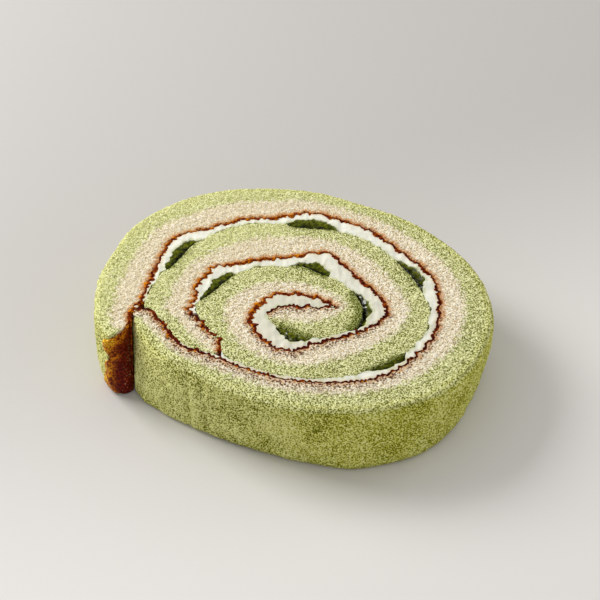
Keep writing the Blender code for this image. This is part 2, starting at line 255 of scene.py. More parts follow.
LAP_PLACE = (-24.0, 1.0)  # where the inner sheet's second turn starts to lie on its first
TOUCHING = 0.45  # mm from a skin line to the face of a sheet that lies on it
FENCE_REACH = 3.0  # mm, a face further than this from the skin isn't pushed


def wrinkles(line, folds, salt):
    """Side shift of a skin line in mm, and the swell of its beads from 0 at a crease to 1 on a back.

    Folds are counted along the length with slow noise added. With t as the way through a fold, its
    side is sin(π · t to the power 1.8): a slow rise and a steep fall. A bead is |sin| of its own count
    to the power 0.8 with a chance size, round on top and sharp between two, and lower where the folds
    are high. The shift is towards the core: height · (chance · fold - lift), and the same for beads.
    """
    length, folds = running_length(line), np.array(folds)
    height, step = [np.interp(length / length[-1], folds[:, 0], column) for column in folds[:, 1:].T]
    count = np.cumsum(np.gradient(length) / step) + 0.5 * wobble(length, FOLD_DRIFT, salt)
    fold = np.sin(np.pi * (count - np.floor(count)) ** FOLD_SKEW)
    chance = 0.45 + 0.9 * cell_value(np.floor(count)[:, None], salt + 2)
    beads = length / BEAD_STEP + 0.8 * wobble(length, BEAD_DRIFT, salt + 4)
    size = 0.2 + 0.8 * cell_value(np.floor(beads)[:, None], salt + 5)
    swell = np.abs(np.sin(np.pi * beads)) ** 0.8 * size
    ends = np.clip(np.minimum(length, length[-1] - length) / END_FADE, 0, 1)
    bead_height = BEAD_HEIGHT * (1 - 0.7 * np.minimum(height, 1))
    shift = ends * (height * (SKIN_LIFT - chance * fold) + bead_height * (SKIN_LIFT - swell))
    return shift[:, None], swell


def kept_inside(line, fence, clearance):
    """The line, pushed to the core side of the fence where it comes nearer than the clearance.

    Each point finds its nearest place on the fence, and moves along that place's normal.
    """
    start, along = fence[:-1], np.diff(fence, axis=0)
    towards = line[:, None, :] - start[None]
    share = (towards * along).sum(axis=2) / (along ** 2).sum(axis=1)
    foot = start + np.clip(share, 0, 1)[..., None] * along
    apart = np.linalg.norm(line[:, None, :] - foot, axis=2)
    best = apart.argmin(axis=1)
    rows = np.arange(len(line))
    direction = along[best] / np.linalg.norm(along[best], axis=1)[:, None]
    inwards = np.stack([direction[:, 1], -direction[:, 0]], axis=1)
    depth = ((line - foot[rows, best]) * inwards).sum(axis=1)
    near = (apart[rows, best] < FENCE_REACH) & (depth < clearance)
    return line + inwards * np.where(near, clearance - depth, 0.0)[:, None]


outer_normal, inner_normal = outward(outer_skin), outward(inner_skin)
shift, outer_swell = wrinkles(outer_skin, OUTER_FOLD, 11)
outer_skin += outer_normal * shift
shift, inner_swell = wrinkles(inner_skin, INNER_FOLD, 21)
inner_skin += inner_normal * shift
second_wrap = len(inner_face) // 2
lap = nearest_index(inner_skin, LAP_PLACE)
inner_face = kept_inside(inner_face, outer_skin, TOUCHING)
inner_face[second_wrap:] = kept_inside(inner_face[second_wrap:], inner_skin[:lap], TOUCHING)
print("skin lengths in mm:", [round(running_length(s)[-1]) for s in (outer_skin, inner_skin)])

# %% [markdown]
# ## Pockets for the jelly
# Each stick of jelly pressed a shallow dent into the green sponge, and the cream closed over it. Both
# lines of the pocket leave the inner sheet's face as low arches, so a parabola gives them.

# %% Where the sticks lie
# In mm: middle x and y, half length, dip into the sponge, more dip towards its end, rise into the
# cream, more rise towards its end
JELLY = [
    (-30.0, 14.0, 7.7, 0.8, -1.4, 2.1, 1.9), (4.5, 26.2, 7.5, 0.2, -1.6, 3.4, 0.0),
    (29.3, 8.7, 7.1, -0.1, -0.4, 2.7, 1.6), (22.5, -25.1, 7.0, 0.5, 0.5, 1.1, -1.9),
    (-20.7, 2.4, 8.2, 1.5, -0.8, 0.8, 2.1), (3.5, 8.9, 6.1, -0.9, 1.7, 3.4, 1.4),
    (17.2, -6.1, 9.0, -0.2, -0.9, 2.1, 0.5), (0.3, -15.0, 5.4, 0.4, 0.4, 2.2, 0.3),
]
JELLY_LEAST = 0.35  # mm, a stick ends where it would be thinner than this
SOAK = (0.8, 0.8, 0.8, 0.9, 0.8, 1.1, 2.6, 2.0)  # how strongly each stick stains the crumb behind it
RAGGED = 0.16  # mm, roughness of the sponge in a pocket
CREAM_GAP = 0.3  # mm that the cream stands off a stick, with as much again by chance


def stick_arch(line, place, half_length):
    """1 - u², from 0 at a stick's two ends to 1 at its middle, and u, the way from -1 to 1."""
    length = running_length(line)
    u = np.clip((length - length[nearest_index(line, place)]) / half_length, -1, 1)
    return (1 - u ** 2)[:, None], u[:, None]


sponge_face, cream_face, sticks = inner_face.copy(), inner_face.copy(), []
soaked = np.zeros((len(inner_face), 1))
edge = wobble(running_length(inner_face), 1.6, 25)[:, None]
ragged = wobble(running_length(inner_face), 0.7, 26)[:, None]
for (x, y, half_length, dip, more_dip, rise, more_rise), soak in zip(JELLY, SOAK):
    arch, way = stick_arch(inner_face, (x, y), half_length)
    into_sponge = arch * (dip + more_dip * way)
    into_cream = arch * (rise + more_rise * way)
    sponge_face -= outward(inner_face) * (into_sponge + RAGGED * ragged * (arch > 0.1))
    cream_face += outward(inner_face) * (into_cream + CREAM_GAP * (1 + edge) * arch)
    sticks.append(np.flatnonzero(into_sponge + into_cream > JELLY_LEAST))
    soaked = np.maximum(soaked, soak * np.clip(2.5 * arch, 0, 1))
print("columns of each stick:", [len(span) for span in sticks])

# %% [markdown]
# ## From lines to solids
# Every layer is the same kind of thing: a band between two lines that runs down through the slice. A
# flat outline with an extrude would leave no points on top to carry the crumb. Here a closed profile is
# carried along the band instead. Each profile point says how far across the band it is, how far it
# stands out, how high it is, which way it faces and how much crumb it shows.


# %% Profiles and sweeps
class Profile:
    """Points round a band's cross-section, from the top on the left side round to the left again.

    Columns: mix from the left line (0) to the right (1), mm out of the left line, height in mm, the
    angle it faces (90 is up, 0 is out to the left) and its share of the surface's relief.
    """

    def __init__(self):
        self.rows = []

    def add(self, mix, out, height, facing, relief):
        """Adds points; single values are repeated to the length of the longest column."""
        self.rows.append(np.stack(np.broadcast_arrays(mix, out, height, facing, relief), axis=-1))

    def close(self, right, left, base=0.0, steps=5, right_relief=0.0, left_relief=0.0):
        """Goes down the right side, back underneath and up the left side, by shares of the height."""
        self.add(1, 0, THICKNESS * np.array(right), 180, right_relief)
        self.add(np.linspace(1, 0, steps), 0, base, -90, 0)
        self.add(0, 0, THICKNESS * np.array(left), 0, left_relief)

    def columns(self):
        """All points, as one array for each column."""
        return np.concatenate([np.atleast_2d(rows) for rows in self.rows]).T


def band_points(left, right, profile, lean=0.0):
    """The profile carried along a band: a grid of points (columns, profile points, xyz) in mm.

    A point is (left + out · normal) · (1 - mix) + right · mix. A lean adds to what stands out.
    Also returns the push that a mm of relief gives to each point, and the profile's mix.
    """
    mix, out, height, facing, relief = profile.columns()
    normal = outward(left)
    out = np.broadcast_to(out + lean, (len(left), len(mix)))
    start = left[:, None] + normal[:, None] * out[..., None]
    plan = start * (1 - mix[:, None]) + right[:, None] * mix[:, None]
    points = np.concatenate([plan, np.broadcast_to(height, out.shape)[..., None]], axis=2)
    angle = np.radians(facing)
    flat = normal[:, None] * np.cos(angle)[:, None]
    up = np.broadcast_to(np.sin(angle), out.shape)[..., None]
    return points, np.concatenate([flat, up], axis=2) * relief[:, None], mix


SHARP_ANGLE = math.radians(62)  # steeper edges between faces stay sharp


def placed(name, data):
    """A new object in the scene, with its mesh, lamp or camera."""
    made = bpy.data.objects.new(name, data)
    scene.collection.objects.link(made)
    return made


def closed_band(name, points, slot, replaced=(), **values):
    """A closed mesh from a grid of rings, one ring per column, with a fan over each end.

    values are numbers for each point of the grid, stored on the mesh for its material to read.
    """
    columns, ring = points.shape[:2]
    flat = points.reshape(-1, 3)
    tips = points[[0, -1]].mean(axis=1)
    vertices = np.concatenate([flat, tips]) - np.array([*PLAN_CENTRE, 0.0])
    vertices[:, 2] = np.maximum(vertices[:, 2], 0.0)
    i, j = np.meshgrid(np.arange(columns - 1), np.arange(ring), indexing="ij")
    k = (j + 1) % ring
    a, b, c, d = (i * ring + j, i * ring + k, (i + 1) * ring + k, (i + 1) * ring + j)
    quads = np.stack([a, b, c, d], axis=-1).reshape(-1, 4)
    j = np.arange(ring)
    k = (j + 1) % ring
    first, last = len(flat), len(flat) + 1
    base = (columns - 1) * ring
    fans = np.concatenate([
        np.stack([np.full(ring, first), k, j], axis=1),
        np.stack([np.full(ring, last), base + j, base + k], axis=1),
    ])
    thirds = np.concatenate([quads[:, [0, 1, 2]], quads[:, [0, 2, 3]], fans])
    v = (vertices - vertices.mean(axis=0))[thirds]
    volume = (np.cross(v[:, 0], v[:, 1]) * v[:, 2]).sum() / 6
    if volume < 0:
        quads, fans = quads[:, ::-1], fans[:, ::-1]
    mesh = bpy.data.meshes.new(name)
    mesh.from_pydata(vertices * MM, [], [*quads.tolist(), *fans.tolist()])
    mesh.shade_smooth()
    mesh.set_sharp_from_angle(angle=SHARP_ANGLE)
    for key, value in values.items():
        ends = np.broadcast_to(value, (columns, ring))
        full = np.concatenate([ends.ravel(), ends[[0, -1]].mean(axis=1)])
        mesh.attributes.new(key, "FLOAT", "POINT").data.foreach_set("value", full.astype(np.float32))
    piece = placed(name, mesh)
    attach(piece, "root")
    if replaced:
        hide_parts(*replaced)
    print(f"{name}: {len(thirds)} triangles, {abs(volume) / 1000:.2f} cm3, slot {slot}")
    return piece


# %% [markdown]
# ## Crumb
# Sponge is foam: bubbles burst at the cut and leave pits with thin walls between them. Displacement in
# a shader would be lost in the exported model, so the pits are real here. The nearest-pore distance gives
# round pits of two sizes, and soft noise gives the lumps that the knife drags up.

# %% Relief of the cut and of the outer wall
CUT_LUMPS = ((3.0, 0.06, 51), (0.9, 0.10, 52), (0.5, 0.12, 53))  # mm wide, mm high, salt
WALL_LUMPS = ((6.0, 0.20, 71), (1.2, 0.12, 72), (0.5, 0.12, 73))
CUT_PITS = ((1.9, 0.40, 0.14, 31), (0.9, 0.50, 0.30, 41))  # mm apart, radius in cells, mm deep, salt
WALL_PITS = ((0.9, 0.50, 0.34, 61),)


def soft_lumps(points, table):
    """Sum of height · soft noise over a table of lumps, in mm."""
    return sum(height * soft_noise(points, size, salt) for size, height, salt in table)


def crumb(points, lumps, pits):
    """Height of crumb in mm: soft lumps less round pits, each depth · (1 - distance / radius)."""
    height = soft_lumps(points, lumps)
    for apart, radius, depth, salt in pits:
        height = height - depth * np.clip(radius - pores(points, apart, salt), 0, None) / radius
    return height


print("crumb at one place:", crumb(np.zeros((1, 3)), CUT_LUMPS, CUT_PITS).round(3))

# %% [markdown]
# ## The outer wall
# The slice stands on a wall that isn't upright. It leans in or out at the foot, swells at half height,
# has soft rims and a few folds, and the flap of the sheet reaches forward at its foot.

# %% Form of the wall
RIM_RADIUS = 1.5  # mm
BELLY = 0.6  # mm, swelling at half height
FOOT = (  # share of the way round the face, mm that the foot stands out
    (0.0, -0.9), (0.05, -1.1), (0.12, 0.0), (0.55, 0.0), (0.6, -2.0), (0.64, -2.3),
    (0.68, -0.9), (0.72, 0.0), (0.77, 0.7), (0.81, -1.2), (0.84, -1.9), (0.87, -1.0),
    (0.92, 0.1), (0.95, 1.5), (0.965, 3.2), (0.98, 3.0), (0.99, 1.0), (1.0, 0.0),
)
FOLDS = ((0.9195, 0.0030, 0.9), (0.9035, 0.0035, 0.7))  # share of the way round, its width, mm deep
FLAP_REACH = 4.6  # mm, how much further the flap's end reaches at its foot
FLAP_ZONE = 7.0  # mm round the flap's inner corner that reaches out with it
FLAP_PART = 20.0  # mm along the sheet that belongs to the flap
END_BULGE = 0.9  # mm that the sheet's end swells halfway from face to skin
END_ZONE = 2.5  # mm along the sheet that swells with it
WALL_ROWS = 50  # rows of points down the wall
TOP_ROWS = 18


def wall_profile():
    """Top from the border out to the rim, round it, down the wall, round the foot and back."""
    profile = Profile()
    turn = np.radians(np.linspace(78, 0, 7))
    inset = -RIM_RADIUS * (1 - np.cos(turn))
    drop = RIM_RADIUS * (1 - np.sin(turn))
    profile.add(np.linspace(1, 0, TOP_ROWS), -RIM_RADIUS, THICKNESS, 90, 1)
    profile.add(0, inset, THICKNESS - drop, np.degrees(turn), 1)
    rows = np.linspace(THICKNESS - RIM_RADIUS, RIM_RADIUS, WALL_ROWS)[1:-1]
    share = rows / THICKNESS
    profile.add(0, BELLY * 4 * share * (1 - share), rows, 0, 1)
    profile.add(0, inset[::-1], drop[::-1], -np.degrees(turn[::-1]), 0.6)
    profile.add(np.linspace(0, 1, 5), -RIM_RADIUS, 0, -90, 0)
    profile.add(1, 0, THICKNESS * np.array([0.3, 0.9]), 180, 0)
    return profile


def wall_lean(face, profile):
    """What the wall's foot and folds add at each point, and how deep the folds are there.

    The foot adds its reach · (1 - level), and each fold is a bell-shaped groove.
    """
    round_share = running_length(face) / running_length(face)[-1]
    height = profile.columns()[2]
    level = height / THICKNESS
    foot = np.interp(round_share, *zip(*FOOT))[:, None] * (1 - level)
    grooves = np.zeros_like(foot)
    for middle, width, depth in FOLDS:
        along = round_share[:, None] - middle - 0.004 * (level - 0.5) - 0.0015 * wobble(height, 2.5, 41)
        groove = np.exp(-(along / width) ** 2)
        grooves += depth * groove * np.clip(1.3 - np.abs(level - 0.45) * 2.4, 0, 1)
    return foot - grooves, grooves


def flap_form(points, places, share=0.0):
    """The sheet's points, with the flap's end swollen and drawn forward.

    The end swells by bulge · 4 · share · (1 - share), the share being the way from face to skin. Round
    its inner corner it reaches forward, most at the foot.
    """
    across = outer_skin[0] - outer_face[0]
    out = np.array([across[1], -across[0]]) / np.linalg.norm(across)
    swelling = END_BULGE * 4 * share * (1 - share) * np.clip(1 - places / END_ZONE, 0, 1)
    moved = points.copy()
    moved[..., :2] += swelling[..., None] * out
    away = np.linalg.norm(moved[..., :2] - np.array(OUTER_SHEET[0][:2]), axis=-1)
    near = np.clip(1 - away / FLAP_ZONE, 0, 1) * (places < FLAP_PART)
    moved[..., 1] -= FLAP_REACH * (1 - points[..., 2] / THICKNESS) * near
    return moved


RIM_PAINTED_SHADE = 0.45  # how much of the wall's darker colour the cut is painted with at the rim: painted shade on the rounded rim
RIM_PAINTED_SHADE_REACH = 3.5  # mm that it reaches inwards
outer_places = (np.arange(len(outer_face)) * OUTER_STEP)[:, None]
profile = wall_profile()
lean, groove_depth = wall_lean(outer_face, profile)
points, push, mix = band_points(outer_face, outer_border, profile, lean)
tilt = profile.columns()[3]
points = flap_form(points, outer_places, mix * OUTER_GREEN[0])
on_top = np.clip((tilt - 15) / 60, 0, 1)
height = crumb(points, CUT_LUMPS, CUT_PITS) * on_top + crumb(points, WALL_LUMPS, WALL_PITS) * (1 - on_top)
points = points + push * height[..., None]
width = gap(outer_face, outer_border)
closed_band("outer_green_crumb", points, "green_sponge", ["outer_green_sponge"],
            layer=-(1 - mix) * width, skin=20.0,
            # wall: 1 on the outer wall; at the rim of the cut, a share of the wall's colour as painted
            # shade.
            wall=np.maximum(np.clip(1 - tilt / 90, 0, 1) * (mix < 0.5),
                            on_top * RIM_PAINTED_SHADE * np.clip(1 - mix * width / RIM_PAINTED_SHADE_REACH, 0, 1)),
            # pit: depth of the crumb's pits and of the wall's folds, which the material paints darker as
            # painted shade.
            pit=-height + 0.25 * groove_depth, drag=0.0, stain=0.0)

# %% [markdown]
# ## The plain crumb and the inner sheet
# Green and plain batter were baked as one sheet, so their crumb runs on across the border. They're two
# pieces here, because they are two layers, but both take their relief from the same noise and meet at
# shared points.


# %% Bands of cut crumb
def crumb_profile(rows, left_edge=0.0, right_edge=0.0):
    """A flat top, upright walls and a flat underside; an edge above 0 is rounded by so many mm."""
    profile = Profile()
    turn = np.radians([0, 35, 70])
    if left_edge:
        profile.add(0, -left_edge * (1 - np.cos(turn)), THICKNESS - left_edge * (1 - np.sin(turn)),
                    np.degrees(turn), 0.5)
    mix = np.linspace(0, 1, rows)
    profile.add(mix, -left_edge, THICKNESS - right_edge * (mix == 1), 90, 1)
    profile.close((0.8, 0.2), (0.1, 0.5, 0.8, 0.9, 0.95), left_relief=0.3)
    return profile


def crumb_band(name, left, right, profile, slot, replaced, layer_sign, skin_normal=None, lean=None,
               soaked=0.0):
    """A band of cut crumb: its relief, and how far each point is from border, skin and jelly.

    The jelly's stain fades inwards from the face as exp(-distance / STAIN_DEPTH).
    """
    points, push, mix = band_points(left, right, profile)
    if lean is not None:
        points = lean(points)
    height = crumb(points, CUT_LUMPS, CUT_PITS)
    points = points + push * height[..., None]
    width = gap(left, right)
    if layer_sign < 0:
        layer, skin, drag = -(1 - mix) * width, 20.0, 0.0
    else:
        layer, skin = mix * width, (1 - mix) * width
        drag = np.clip(-skin_normal[:, 1:], 0, 1) + 0 * mix
    return closed_band(name, points, slot, replaced, layer=layer, skin=skin, wall=0.0,
                       pit=-height, drag=drag, stain=soaked * np.exp(-mix * width / STAIN_DEPTH))


SKIN_LAP = 0.2  # mm that crumb and cream reach under the ribbon of skin, from its middle
STAIN_DEPTH = 1.3  # mm
plain_profile = crumb_profile(26, 0, 0.35)
plain_share = OUTER_GREEN[0] + (1 - OUTER_GREEN[0]) * plain_profile.columns()[0]
crumb_band("outer_plain_crumb", outer_border, outer_skin + outer_normal * SKIN_LAP, plain_profile,
           "plain_sponge", ["outer_plain_sponge"], 1, outer_normal,
           lambda grid: flap_form(grid, outer_places, plain_share))
crumb_band("inner_green_crumb", sponge_face, inner_border, crumb_profile(18, 0.35), "green_sponge",
           ["inner_green_sponge"], -1, soaked=soaked)
crumb_band("inner_plain_crumb", inner_border, inner_skin + inner_normal * SKIN_LAP,
           crumb_profile(22, 0, 0.35), "plain_sponge", ["inner_plain_sponge"], 1, inner_normal)

# %% [markdown]
# ## The brown skin
# On the cut the skin shows as a ribbon one to two millimetres wide. Painting it on the plain crumb would
# give it a soft edge, and the cut shows it crisp and a little proud, so it is a ribbon of its own.

# %% Ribbons of brown skin
# Width of each ribbon: share of its length, mm
OUTER_SKIN_WIDTH = ((0, 1.4), (0.06, 1.7), (0.14, 1.6), (0.2, 1.35), (0.45, 1.15), (0.6, 1.1), (0.72, 1.0),
                    (0.84, 1.0), (0.88, 1.6), (0.95, 2.0), (1, 1.5))
INNER_SKIN_WIDTH = ((0, 1.5), (0.04, 1.9), (0.1, 1.6), (0.2, 1.4), (0.3, 1.3), (0.5, 1.5), (0.68, 1.6),
                    (0.75, 1.9), (0.86, 1.9), (0.92, 1.6), (1, 1.4))
BEAD_RISE = 0.22  # mm that a bead's back stands above its creases
SKIN_CROWN = 0.22  # mm that a ribbon's middle stands above its edges
PAINTED_LIGHT_SIDE = np.array([-0.6, 0.8])  # plan direction, left and back, towards the window lamp, where the skins are painted most golden: painted light


def skin_ribbon(name, line, normal, swell, widths, salt, lean=None):
    """A band round the skin line: thicker and higher on a bead's back, lumpy on top.

    Each side is the width · (a share + a part of the swell + noise).
    """
    length = running_length(line)
    thick = np.interp(length / length[-1], *zip(*widths))
    outer_half = thick * (0.40 + 0.10 * swell + 0.16 * wobble(length, 1.3, salt)
                          + 0.10 * wobble(length, 0.6, salt + 1))
    inner_half = thick * (0.38 + 0.26 * swell + 0.12 * wobble(length, 1.0, salt + 2))
    profile = Profile()
    mix = np.linspace(0, 1, 7)
    profile.add(mix, 0, THICKNESS - SKIN_CROWN + SKIN_CROWN * np.sin(np.pi * mix), 90, 1)
    profile.close((0.97, 0.95, 0.925, 0.85, 0.6, 0.02), (0.2, 0.8), base=0.05, steps=3)
    left = line + normal * outer_half[:, None]
    right = line - normal * inner_half[:, None]
    points, push, mix = band_points(left, right, profile)
    if lean is not None:
        points = lean(points)
    height = soft_lumps(points, ((0.7, 0.15, salt + 3), (1.6, 0.12, salt + 4)))
    height = height + BEAD_RISE * (swell[:, None] - SKIN_LIFT)
    points = points + push * height[..., None]
    # back: how far the skin line faces the window lamp; the skins are painted more golden there as painted
    # light.
    shade = (normal @ PAINTED_LIGHT_SIDE)[:, None] + 0 * mix
    return closed_band(name, points, "plain_sponge", (), across=mix + 0 * shade, back=shade,
                       swell=swell[:, None] + 0 * mix)


skin_ribbon("outer_brown_skin", outer_skin, outer_normal, outer_swell, OUTER_SKIN_WIDTH, 81,
            lambda grid: flap_form(grid, outer_places))
skin_ribbon("inner_brown_skin", inner_skin, inner_normal, inner_swell, INNER_SKIN_WIDTH, 91)

# %% [markdown]
# ## The cream
# Whipped cream fills what the wraps leave. Its top was smeared by the knife: a little below the crumb,
# fuller in the middle, with an edge that laps unevenly over the green crumb. The two lines that bound it
# have unlike lengths, so they're first cut into short stretches that lie across from each other.


# %% Bands of cream
SMEARED = np.array([1.0, 0.45, 1.0])  # lumps are drawn out along y, the way the knife went
CREAM_SUNK = 0.18  # mm that its top lies below the cut at the skin


def paired(left, right, stretches):
    """Both lines as matching points: even places on the left line, each with its nearest on the right.

    The right line's places may only go forward, so the band never crosses itself.
    """
    marks = np.linspace(0, len(left) - 1, stretches + 1).astype(int)
    across = np.linalg.norm(left[marks][:, None] - right[None, :, :2], axis=2).argmin(axis=1)
    across[0], across[-1] = 0, len(right) - 1
    across = np.minimum(np.maximum.accumulate(across), len(right) - 1)
    on_right = np.interp(np.arange(len(left)), marks, across)
    grid = np.arange(len(right))
    return left, np.stack([np.interp(on_right, grid, column) for column in right.T], axis=1)


def cream_band(name, left, right, replaced, salt, lap_over, shade=0.0):
    """Cream between two lines: sunk at the skin, full in the middle, torn where it laps the crumb.

    Its top is smeared into soft lumps, with ridges where noise crosses zero: 1 - |noise|.
    """
    length = running_length(right)
    lap = lap_over * (0.10 + 0.38 * wobble(length, 1.7, salt) + 0.26 * wobble(length, 0.7, salt + 1))
    right = right - outward(right) * lap[:, None]
    profile = Profile()
    mix = np.linspace(0, 1, 16)
    crown = 1 - (2 * mix - 1) ** 4
    profile.add(mix, 0, THICKNESS - CREAM_SUNK + 0.06 * crown + 0.10 * mix ** 3, 90, 1)
    profile.close((0.975, 0.955, 0.93, 0.89, 0.8, 0.5, 0.035), (0.1, 0.5, 0.9), base=0.3, right_relief=0.5)
    points, push, mix = band_points(left, right, profile)
    smear = points * SMEARED
    height = soft_lumps(smear, ((2.6, 0.14, salt + 2), (1.1, 0.12, salt + 3)))
    height = height + 0.30 * (0.75 - np.abs(soft_noise(smear, 1.7, salt + 4)))
    width = gap(left, right)
    narrow = np.clip(width / 2.0, 0.25, 1)
    points = points + push * ((height - 0.15) * narrow)[..., None]
    return closed_band(name, points, "cream", replaced, shade=shade + 0 * narrow,
                       edge=(1 - mix) * width, skin=mix * width)


# Where cream lies: places on the skin outside it, then on the inner sheet's face inside it
OUTER_CREAM = (((-38.6, -4.2), (-37.3, -4.6)), ((-17.6, -24.4), (-16.9, -21.6)))
INNER_CREAM_START = ((-26.4, -8.2), (-25.0, -8.8))
CORE_CORNER = (10.2, -4.5)
THREAD_END = ((-28.0, -19.2), (-27.2, -18.6))

under_outer = outer_skin - outer_normal * SKIN_LAP
under_inner = inner_skin - inner_normal * SKIN_LAP
skin_start, skin_end = [nearest_index(outer_skin, place[0]) for place in OUTER_CREAM]
face_start = nearest_index(inner_face[:second_wrap], OUTER_CREAM[0][1])
face_end = second_wrap + nearest_index(inner_face[second_wrap:], OUTER_CREAM[1][1])
left, right = paired(under_outer[skin_start:skin_end], cream_face[face_start:face_end], 60)
cream_band("cream_between_sheets", left, right, ["outer_cream"], 101, 1.0)

start = nearest_index(inner_skin, INNER_CREAM_START[0])
corner = nearest_index(inner_skin, CORE_CORNER)
face_start = second_wrap + nearest_index(inner_face[second_wrap:], INNER_CREAM_START[1])
fold_back = under_inner[corner:][::-1]
right = np.concatenate([cream_face[face_start:], fold_back])
torn = np.concatenate([np.ones(len(cream_face) - face_start), np.zeros(len(fold_back))])
left, across = paired(under_inner[start:corner + 1], np.column_stack([right, torn]), 48)
# The core's cream gets a shade from 0 at its start to 1 deep in the core: painted shade.
cream_band("cream_in_core", left, across[:, :2], ["inner_cream"], 111, across[:, 2],
           np.linspace(0.0, 1.0, len(left))[:, None])

thread_end = nearest_index(outer_skin, THREAD_END[0])
left, right = paired(under_outer[skin_end - 4:thread_end],
                     inner_face[:nearest_index(inner_face[:second_wrap], THREAD_END[1])], 8)
cream_band("cream_thread", left, right, (), 121, 0.3)

# %% [markdown]
# ## The jelly
# A stick of grape jelly is cut through like the rest, but it shrinks back from the knife. Its top slopes
# down to one side of its pocket, where it is painted nearly black as painted shade, and it's wet and lumpy.


# %% Sticks of jelly in their pockets
WET_STICKS = (3, 7, 8)  # these are lumpier and catch the light
JELLY_DEPTH = [  # mm below the cut, at the cream and at the sponge
    (0.30, 0.55), (0.30, 0.50), (0.50, 0.90), (1.40, 0.35),
    (0.30, 0.55), (0.30, 0.60), (0.45, 1.30), (1.30, 0.35),
]
STICK_COLUMNS = 90
STICK_INSET = (0.06, 0.03)  # mm from the cream and from the sponge
THIN_STICK = 1.5  # mm, a stick thinner than this sinks at its top
THIN_SINK = 0.4  # mm that it sinks where it ends


def jelly_stick(number, span, depth):
    """A lumpy band from cream to sponge, lower where it is thin.

    It slopes by its two depths, blended with the weight 3m² - 2m³ of the mix m.
    """
    left = resampled((cream_face - outward(cream_face) * STICK_INSET[0])[span], STICK_COLUMNS)
    right = resampled((sponge_face + outward(sponge_face) * STICK_INSET[1])[span], STICK_COLUMNS)
    thick = gap(left, right)
    profile = Profile()
    mix = np.linspace(0, 1, 18)
    slope = depth[0] + (depth[1] - depth[0]) * (3 * mix ** 2 - 2 * mix ** 3)
    profile.add(mix, 0, THICKNESS - slope, 90, 1)
    profile.close((0.85, 0.5, 0.1), (0.1, 0.5, 0.85), base=0.6, steps=4)
    points, push, mix = band_points(left, right, profile)
    rough = 0.30 if number in WET_STICKS else 0.12
    height = soft_lumps(points, ((1.9, 0.22, 130 + number), (1.1, rough, 140 + number)))
    height = height - THIN_SINK * np.clip(1 - thick / THIN_STICK, 0, 1)
    points = points + push * height[..., None]
    # low: 1 on the deeper side, which the material paints nearly black as painted shade.
    low_side = mix if depth[1] > depth[0] else 1 - mix
    return closed_band(f"jelly_stick_{number}", points, "grape_jelly", [f"grape_jelly_{number}"],
                       low=low_side + 0 * thick)


for number, (span, depth) in enumerate(zip(sticks, JELLY_DEPTH), start=1):
    jelly_stick(number, span, depth)

# %% [markdown]
# ## The browned flap
# At the left front the outer sheet ends, and its brown skin runs round the end and over the corner
# in two rounded knobs. A painted edge would be flat. Here a thick skin follows the end's form, and
# where the brown stops it dives under the green crumb, so the scalloped edge is where the two cross.

# %% The crust on the flap's end
# It stands out by its thickness inside its edge, and dives under the crumb outside it
WRAP = (  # share of the height, mm that the crust reaches round on to the face
    (0.0, 5.2), (0.10, 4.4), (0.2, 3.2), (0.3, 2.4), (0.42, 2.2), (0.50, 1.6), (0.57, 0.4), (0.62, -0.2),
    (0.68, 0.0), (0.75, 1.1), (0.83, 1.9), (0.89, 1.7), (0.93, 0.8), (0.955, -1.5), (0.975, -3.4),
    (1.0, -4.8),
)
CRUST_FACE = 24  # columns of the face that the crust's path starts before the corner
CRUST_SKIN = 8  # columns of the skin that it ends behind the corner
CRUST_COLUMNS = 110
CRUST_ROWS = 50
CRUST_SOFTENING = 11  # columns over which the path is averaged
CRUST_THICK = 0.45  # mm
CRUST_EDGE = 0.9  # mm over which the crust's edge falls away
CRUST_DIVE = 1.0  # mm that the crust goes under the crumb beyond its edge
CRUST_BACK = 1.1  # mm from the end's form to the crust's hidden back
CRUST_GOLD_X = -49.0  # mm, where it is most golden
CRUST_WIDTH = 8.0  # mm from there to where it is darkest


def flap_path(height):
    """The line round the flap's end at one height: face, end, skin, evenly spaced and smoothed.

    Also returns each point's distance past the corner where the face ends.
    """
    level = height / THICKNESS
    share = running_length(outer_face)[:CRUST_FACE] / running_length(outer_face)[-1]
    to_rim = min(height, THICKNESS - height, RIM_RADIUS)
    inset = RIM_RADIUS - math.sqrt(RIM_RADIUS ** 2 - (RIM_RADIUS - to_rim) ** 2)
    lean = np.interp(share, *zip(*FOOT)) * (1 - level) + BELLY * 4 * level * (1 - level) - inset
    face = outer_face[:CRUST_FACE] + outward(outer_face)[:CRUST_FACE] * lean[:, None]
    end = np.linspace(face[0], outer_skin[0], 14)
    across = (outer_skin[0] - face[0]) / np.linalg.norm(outer_skin[0] - face[0])
    a = np.linspace(0, 1, 14)
    end += np.array([across[1], -across[0]]) * (END_BULGE * 4 * a * (1 - a))[:, None]
    line = np.concatenate([face[::-1], end[1:-1], outer_skin[:CRUST_SKIN]])
    lifted = np.column_stack([line, np.full(len(line), height)])
    line = flap_form(lifted[None], np.zeros((1, len(line))))[0, :, :2]
    corner = line[CRUST_FACE - 1]
    line = resampled(line, CRUST_COLUMNS)
    kernel = np.hanning(CRUST_SOFTENING)
    soft = np.stack([np.convolve(line[:, i], kernel / kernel.sum(), "valid") for i in range(2)], axis=1)
    length = running_length(line)
    spare = CRUST_SOFTENING // 2
    return soft, length[spare:-spare] - length[nearest_index(line, corner)]


